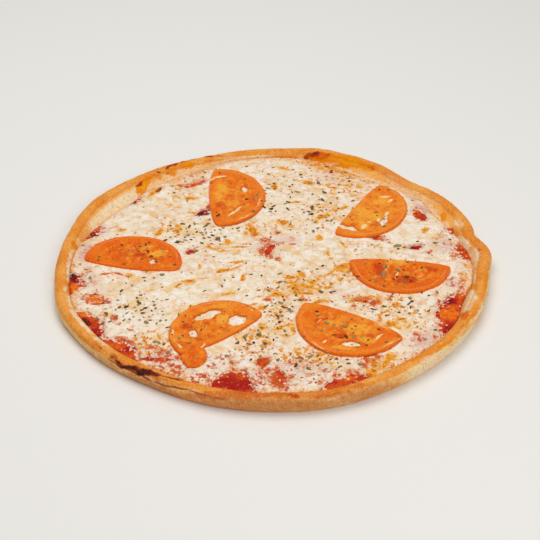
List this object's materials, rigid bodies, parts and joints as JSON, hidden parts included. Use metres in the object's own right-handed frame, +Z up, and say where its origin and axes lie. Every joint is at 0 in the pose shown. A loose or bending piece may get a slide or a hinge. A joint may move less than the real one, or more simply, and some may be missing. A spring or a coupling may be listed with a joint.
{
  "type": "margherita pizza",
  "caption": "Whole round pizza with a raised golden crust, melted cheese over tomato sauce, a scatter of dried oregano and half slices of tomato.",
  "frame": {"origin": "on the underside, at the middle of the outline's bounding box", "axes": "+Z up out of the toppings; +Y away from the viewer of the picture, +X to the viewer's right"},
  "size_m": [0.3014, 0.2994, 0.0131],
  "materials": {
    "crust": "baked bread crust, dry and matt, golden on the rim and pale on its side",
    "sauce": "cooked tomato sauce, wet and pulpy",
    "cheese": "melted mozzarella, slightly oily, with toasted streaks",
    "tomato": "baked tomato flesh, moist"
  },
  "bodies": {
    "root": {"crust": "crust", "sauce": "sauce", "cheese": "cheese", "tomato_left": "tomato", "tomato_back_left": "tomato", "tomato_back_right": "tomato", "tomato_right": "tomato", "tomato_front_left": "tomato", "tomato_front_right": "tomato"}
  },
  "joints": []
}
